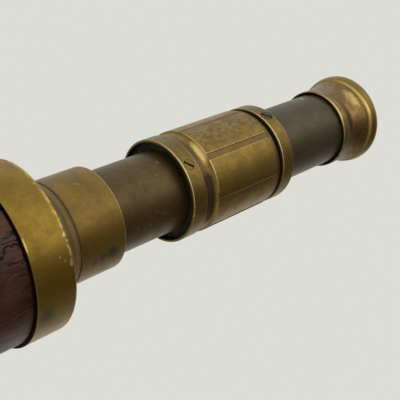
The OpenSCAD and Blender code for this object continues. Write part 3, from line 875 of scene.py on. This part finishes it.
def draw_tube_marks(angle, r, z, layers):
    """A dark cloudy band of painted shade just before the focus head, brown clouds, a few nicks and
    crossed scratches.
    """
    noise = cloud_noise(on_cylinder(angle, r, z) / [1.8, 1.8, 2.6], 91, 2)
    before = head_bottom - z
    # painted shade where the tube runs into the focus head
    dark = ramp(before, 5.5, -6) * ramp(noise, 0.2, 2 / 3)
    nicks = [(-39.0, 3.9, 1.1, 0.5, 0.7), (38.6, 15.9, 0.6, 0.5, 0.7), (37.2, 21.4, 0.6, 0.4, 0.7),
             (-20.4, 7.8, 0.5, 0.4, 0.7)]
    lines = [((24.7, 10.9), (33.8, 8.4)), ((30.7, 10.7), (28.7, 7.9)), ((22.2, 13.9), (30.7, 10.6))]
    wear = np.maximum(0.26 * ramp(noise, 0.55, 0.2), blobs(angle, before, nicks, tube_r))
    for start, end in lines:
        wear = np.maximum(wear, 0.6 * scratch(angle, before, start, end, tube_r, 0.28))
    return {"dirt": 0.62 * dark, "wear": wear, "mottle": 0.2 + 0.5 * ramp(noise, 0.4, 0.5)}


def eye_tube_marks(angle, r, z, layers):
    """Painted shade just behind the rear ring and before the eyecup, and three nicks."""
    before = cup_bottom - z
    shaded = 0.6 * ramp(before, 0.8, -1.4)
    behind = 0.4 * ramp(z, high("rear_ring") + 2.4, -2)
    nicks = [(-4.9, 15.75, 1.2, 0.8, 0.42), (-24.6, 21.55, 0.8, 0.6, 0.42)]
    chips = [(-65.3, 6.85, 1.5, 0.6, 0.7)]
    return {"dirt": np.maximum(shaded, behind), "wear": blobs(angle, before, nicks, tube_r),
            "chip": blobs(angle, before, chips, tube_r), "mottle": 0.3}


def make_head_rings():
    """The two screwed rings of the focus head, with real seats for the screw heads."""
    flange_r = ring_r - 1.05
    bottom, top = low("front_ring"), high("front_ring")
    # the inner corners of the ring are darkened as painted shade
    corners = [
        (flange_r + FIT, bottom, 0, 0, 1.0), (ring_r - 0.3, bottom, 0.1, 0.35),
        (ring_r, bottom + 0.3, 0.15, 1.0), (ring_r, top - 0.2, 0.12, 0.6),
        (ring_r - 0.2, top, 0.1, 0.2), (flange_r + FIT, top, 0, 0, 0.8)]

    def front_marks(angle, r, z, layers):
        lines = [((31.4, top - 2.9), (29.8, top - 0.2)), ((33.2, top - 2.9), (31.6, top - 0.2)),
                 ((29.6, top - 2.2), (28.2, top - 0.4))]
        wear, dirt = layers["wear"], layers["dirt"]
        for start, end in lines:
            wear = np.maximum(wear, 0.8 * scratch(angle, z, start, end, ring_r, 0.14) * (r > ring_r - 0.1))
            beside = (start[0] - 0.9, start[1]), (end[0] - 0.9, end[1])
            dirt = np.maximum(dirt, 0.7 * scratch(angle, z, *beside, ring_r, 0.14) * (r > ring_r - 0.1))
        # the inner wall is darkened as painted shade
        dirt = np.where(r < flange_r + 0.1, 0.66, dirt)
        # edge brightness strongest on the side toward the light: partly painted highlight
        facing = 0.4 + 0.6 * bell(np.degrees(wrap(angle)), -14, 42)
        return {"wear": wear * facing, "dirt": dirt, "mottle": 0.3}

    close = np.radians(np.arange(26, 36, 0.3))
    angles = np.unique(np.round(np.concatenate([round_angles(), close]), 6))
    front = turned("head_ring_front", corners, angles, 0.35, marks=front_marks, reach=0.24)
    holes = [plug_at(a, h, ring_r - 1.6, 2.1) for a, h in screw_places("front_ring_screws")]
    cut_away(front, holes)
    place(front, "draw", "ring_brass", ring_brass, "front_ring")
    front_screws = screws(
        "head_screws_front", "front_ring_screws", ring_r, flange_r + FIT, 2.05, (44, -66, 4), 0.85)
    place(front_screws, "draw", "screw_brass", screw_brass, "front_ring_screws")
    bottom, top = low("rear_ring"), high("rear_ring")
    seat = top - 0.95
    seat_deep = 1.1
    # the inner corner of its front face is darkened as painted shade
    corners = [
        (core_r + FIT, bottom, 0, 0, 0.8), (ring_r - 0.3, bottom, 0.1, 0.4),
        (ring_r, bottom + 0.3, 0.15, 1.0), (ring_r, top - 0.3, 0.15, 0.55),
        (ring_r - 0.3, top, 0.12, 0.3), (tube_r + RUN, top), (tube_r + RUN, seat),
        (core_r + FIT, seat)]

    def rear_marks(angle, r, z, layers):
        # edge brightness strongest on the side toward the light: partly painted highlight
        facing = 0.4 + 0.6 * bell(np.degrees(wrap(angle)), -14, 38)
        return {"wear": layers["wear"] * facing, "mottle": 0.3}

    rear = turned("head_ring_rear", corners, step=0.5, marks=rear_marks, reach=0.22)
    holes = [plug_at(a, h, ring_r - seat_deep, 2.3) for a, h in screw_places("rear_ring_screws")]
    cut_away(rear, holes)
    place(rear, "draw", "ring_brass", ring_brass, "rear_ring")
    rear_screws = screws(
        "head_screws_rear", "rear_ring_screws", ring_r, ring_r - seat_deep + FIT, 2.12, (38, 88, -42))
    place(rear_screws, "draw", "screw_steel", steel, "rear_ring_screws")


def make_focus_sleeve():
    """The turning sleeve: coved shoulder, milled flutes and a lower plain band at the back."""
    bottom, top = low("focus_sleeve"), high("focus_sleeve")
    flutes, first, flute_w, flute_deep = 8, math.radians(-14), 2.2, 0.25
    shoulder_r = sleeve_r - 1.4
    cove_low, cove_top = bottom + 1.3, bottom + 5.1
    band = top - 1.9
    band_r = sleeve_r - 0.45
    relief_r, relief_low, relief_high = core_r + 1.35, bottom + 13, bottom + 31
    cove = arc(sleeve_r, cove_low, shoulder_r - sleeve_r, cove_top - cove_low, 1 / 12, 11 / 12, 10)
    # the corners at the shoulder and the lower band are darkened as painted shade
    corners = [
        (core_r + RUN, bottom, 0, 0, 0.9), (shoulder_r, bottom, 0.15, 0, 0.3),
        (shoulder_r, cove_low),
        *cove, (sleeve_r, cove_top, 0.15, 1.0), (sleeve_r, band, 0.15, 0.45),
        (band_r, band + 0.05, 0.05, 0, 0.9), (band_r, top - 0.25, 0.1, 0.1), (band_r - 0.25, top, 0.1),
        (core_r + RUN, top), (core_r + RUN, relief_high), (relief_r, relief_high - 0.5),
        (relief_r, relief_low + 0.5), (core_r + RUN, relief_low)]
    half = flute_w / 2 / sleeve_r
    pitch = 2 * math.pi / flutes
    centres = [first + pitch * k for k in range(flutes)]
    outside = (0.9, 0.6, 0.4, 0.25, 0.14, 0.07, 0, -0.07, -0.14, -0.22, -0.35, -0.6)
    stops = [-half - out / sleeve_r for out in outside]
    stops = stops + [-stop for stop in reversed(stops)]
    margin = half + 1.2 / sleeve_r
    land = np.linspace(margin, pitch - margin, 44)
    angles = np.sort(np.concatenate([c + np.concatenate([stops, land]) for c in centres]))

    def flute_offset(angle):
        """Signed distance in millimetres from the nearest flute's middle."""
        return ((angle - first + pitch / 2) % pitch - pitch / 2) * sleeve_r

    def shape(angle, r, z):
        away = np.abs(flute_offset(angle))
        wall = ramp(away, flute_w / 2 + 0.22, -0.5)
        floor = sleeve_r - flute_deep * wall * wall * (3 - 2 * wall)
        cut = (r > band_r - 0.02) & (z < band + 0.02) & (z > cove_low)
        return np.where(cut, np.minimum(r, floor), r)

    def marks(angle, r, z, layers):
        away = np.abs(flute_offset(angle))
        degrees = np.degrees(wrap(angle))
        outer = (r > sleeve_r - 0.7) & (z > cove_low + 1) & (z < band + 0.1)
        edge = bell(away, flute_w / 2 + 0.26, 0.24) * outer
        floor = ramp(away, flute_w / 2 + 0.1, -0.3) * outer
        facing = 0.35 + 0.65 * bell(degrees, -12, 40)
        wear = layers["wear"] * facing
        # flute edges bright mainly on the side toward the light: painted highlight
        edge = edge * (0.12 + 0.88 * bell(degrees, -16, 24))
        wear = (1 - 0.9 * floor) * np.maximum(wear, 0.5 * edge)
        # painted highlight on the cove
        wear = np.maximum(wear, 1.1 * blob(angle, z, -24, cove_top - 1.0, 5.5, 1.4, sleeve_r))
        # painted shade on the side away from the light: it carries the dark stain higher up the cove and
        # darkens the shoulder
        shaded = ramp(degrees, -8, 14) * ramp(degrees, 90, -30)
        low_part = ramp(z, cove_low + 2.0 + 1.6 * shaded, -1.4)
        last_band = (z > band + 0.1) & (r > band_r - 0.3)
        stain = np.maximum((0.66 - 0.3 * shaded) * floor, np.maximum(0.95 * low_part, 0.85 * last_band))
        spotted = np.exp(-((degrees + 41) / 22) ** 4) * (r > sleeve_r - 0.1)
        mottle = np.maximum(0.15, 0.85 * spotted)
        lines = sum(bell(degrees, at, 0.7) for at in (33.6, 36.2, 39.2))
        lines = 0.55 * lines * (z > cove_top + 1) * (z < band - 2) * (r > sleeve_r - 0.1)
        # painted shade along the flute edges on the lower side
        rim = bell(away, flute_w / 2 + 0.1, 0.22) * outer
        rim = 0.7 * rim * ramp(degrees, 12, 10)
        dirt = np.maximum(layers["dirt"], np.maximum(rim, 0.5 * shaded * low_part))
        return {"wear": wear, "dirt": dirt, "stain": np.maximum(stain, lines), "mottle": mottle}

    piece = turned("sleeve_fluted", corners, angles, 0.8, shape, marks, reach=0.4)
    place(piece, "focus_ring", "sleeve_brass", sleeve_brass, "focus_sleeve")


def make_eyecup():
    """The flared eyecup: a short lip, a cove, a bead bright from rubbing and painted highlight, a round
    rim and a dished back.
    """
    bottom, top = low("eyecup"), high("eyecup")
    lip_r, rim_r = 16.2, radius("eyecup")
    foot_r, bead_r, hole_r = lip_r - 0.7, rim_r - 1.25, 6.5
    foot_z, bead_z, rim_z = bottom + 4.8, bottom + 14.7, bottom + 18.8
    recess = 3.0
    flare = [(foot_r + (bead_r - foot_r) * u ** 1.9, foot_z + (bead_z - foot_z) * u)
             for u in np.linspace(0, 1, 15)]
    rim = arc(rim_r - 1.1, rim_z, 1.1, rim_z - bead_z - 0.5, -1, -1 / 8, 7)
    rim = rim + arc(rim_r - 1.1, rim_z, 1.1, top - rim_z, 0, 1, 8)
    dish_r = rim_r - 2.2
    dish = arc(dish_r, top - 6, hole_r - dish_r, 6, 1, 0, 10)
    hole_low = high("eyepiece_tube") + 0.2
    # the corners of the lip and its recess are darkened as painted shade
    corners = [
        (lip_r - 0.6, bottom, 0.1, 0, 0.5), (lip_r, bottom, 0.3, 1.0), (lip_r, bottom + 3.6, 0.6, 0.2),
        (foot_r, bottom + 4.3, 0.5), (*flare[0], 0, 0, 0.5), *flare[1:],
        (bead_r - 0.35, bead_z + 0.25, 0.05, 0, 0.6), *rim, *dish, (hole_r, hole_low),
        (tube_r + FIT, hole_low), (tube_r + FIT, bottom + recess),
        (lip_r - 0.6, bottom + recess, 0, 0, 1.0)]
    chips = [(12, rim_z + 0.6, 0.5, 0.4, 0.8), (2, rim_z + 0.3, 0.4, 0.4, 0.8)]

    def marks(angle, r, z, layers):
        degrees = np.degrees(wrap(angle))
        # the side toward the light
        facing = bell(degrees, -14, 46)
        outside = r > lip_r - 0.9
        wear = layers["wear"] * (0.05 + 0.95 * facing)
        # painted highlight along the bead, following where the light catches it
        rise = np.clip(1.1 + 0.024 * degrees, 0.4, 1.2)
        bead = bell(z, bead_z + rise, 0.75) * (z > bead_z + 0.1) * outside
        wear = np.maximum(wear, (0.3 + 0.75 * facing) * bead)
        noise = cloud_noise(on_cylinder(angle, r, z) / [1.6, 1.6, 1.2], 53, 2)
        # painted highlight on the cove
        band = ramp(z, bead_z - 7.2, 3.6) * ramp(z, bead_z - 0.2, -1.2)
        band = band * bell(degrees, -23, 24) * (0.37 + 0.46 * noise)
        wear = np.maximum(wear, band * outside)
        inside = (r < lip_r - 0.5) & (z < bottom + recess + 0.1)
        # painted shade in the hollow behind the lip, deepest on the side away from the light
        turned_away = 0.26 + 0.34 * bell(degrees, 12, 34)
        hollow = turned_away * bell(z, bottom + 5.9, 1.7) * outside
        groove = 0.4 * bell(z, bottom + 4.2, 0.4) * outside
        # painted highlight on the lip's front edge
        lip = (0.25 + 0.62 * bell(z, bottom, 0.8)) * facing * (z < bottom + 3.2) * outside
        wear = np.maximum(wear, lip)
        # painted shade inside the lip's recess
        deep = 0.6 + 0.4 * ramp(z, bottom, 2)
        # painted shade on the lower side and, weaker, on the far upper side, with more mottle there
        dull = ramp(degrees, 50, 16) + 0.6 * ramp(degrees, -52, -16)
        dull = dull * (z < bead_z) * outside
        dirt = np.maximum(layers["dirt"], 0.42 * dull * (0.6 + 0.5 * noise))
        dirt = np.maximum(dirt, np.maximum(hollow, groove))
        dirt = np.where(inside, deep, dirt)
        olive = ramp(z, bead_z + 0.3, 0.8) * 0.8 * outside
        return {"wear": wear, "dirt": dirt, "stain": olive, "mottle": 0.35 + 0.65 * dull,
                "chip": blobs(angle, z, chips, rim_r)}

    piece = turned("eyecup_flared", corners, round_angles(384), 0.6, marks=marks, reach=0.4)
    place(piece, "eyepiece", "eyecup_brass", cup_brass, "eyecup")


def finish_cad_nodes():
    """Materials for the CAD nodes. Those that no piece replaces are lenses, felt, the drive pin
    and blackened parts."""
    finishes = {"optical_glass": glass, "felt": felt, "screw_steel": steel}
    for part in frame["record"]["subparts"]:
        node = frame["nodes"][part["node"]]
        material = finishes.get(part["material_slot"], black)
        node.data.materials.clear()
        node.data.materials.append(material)


def make_camera():
    """A long-lens camera beside the barrel, looking up at the eyepiece end and rolled well over."""
    size = sleeve_r * MM
    away, beneath = 11.6388 * size, 5.8565 * size
    aside, upward, roll = (math.radians(turn) for turn in (2.236, 39.734, 66.754))
    camera = bpy.data.cameras.new("camera")
    camera.sensor_width = 36
    camera.lens = 70.76
    camera.clip_start = 0.01
    holder = added("camera", camera)
    facing = Matrix.Rotation(-aside, 4, "Z") @ Matrix.Rotation(math.pi / 2 + upward, 4, "X")
    stand = Matrix.Translation((0, -away, ferrule_top * MM - beneath))
    holder.matrix_world = stand @ facing @ Matrix.Rotation(roll, 4, "Z")
    bpy.context.scene.camera = holder


def make_studio():
    """Pale room light, darker on one side, with a soft window above and a plain floor."""
    world = bpy.data.worlds.new("studio")
    bpy.context.scene.world = world
    world.use_nodes = True
    nodes = Nodes(world.node_tree)
    background = nodes.tree.nodes["Background"]
    where = nodes.add("ShaderNodeTexCoord").outputs["Generated"]

    def toward(direction, start, end):
        """0 to 1 as the direction looked in comes nearer to the given one."""
        nearness = nodes.vector("DOT_PRODUCT", where, Vector(direction).normalized(), "Value")
        return nodes.spread(nearness, start, end)

    wall = (0.72, 0.72, 0.67)
    room = nodes.mix(toward((0.80, -0.50, 0.42), 0.38, 0.97), wall, (0.085, 0.060, 0.030))
    room = nodes.mix(toward((-0.02, -0.90, 0.44), 0.93, 0.995), room, (1.45, 1.38, 1.18))
    room = nodes.mix(toward((-0.30, -0.68, 0.67), 0.92, 0.995), room, (1.25, 1.19, 1.02))
    seen = nodes.add("ShaderNodeLightPath").outputs["Is Camera Ray"]
    nodes.feed(background.inputs["Color"], nodes.mix(seen, room, wall))
    background.inputs["Strength"].default_value = 1.0

    floor = bpy.data.meshes.new("floor")
    half = 3.0
    points = [(-half, -half, 0), (half, -half, 0), (half, half, 0), (-half, half, 0)]
    floor.from_pydata(points, [], [(0, 1, 2, 3)])
    plane = added("floor", floor)
    s = Shader("floor_paint")
    s.set("Base Color", s.mix(s.noise(300, 3), (0.70, 0.70, 0.66), (0.76, 0.76, 0.72)))
    s.set("Roughness", 0.8)
    floor.materials.append(s.material)


make_camera()
make_studio()
bpy.context.scene.view_settings.view_transform = "Standard"
finish_cad_nodes()
make_leather_cover()
make_rear_ferrule()
make_front_ferrule()
make_objective_cell()
make_collar()
shown = high("draw_collar") - 1, head_bottom + 2
make_tube("tube_draw", "draw_tube", "draw", tube_brass, draw_tube_marks, shown)
make_head_rings()
make_focus_sleeve()
shown = high("rear_ring") - 1, cup_bottom + 2
make_tube("tube_eyepiece", "eyepiece_tube", "eyepiece", eye_tube_brass, eye_tube_marks, shown)
make_eyecup()
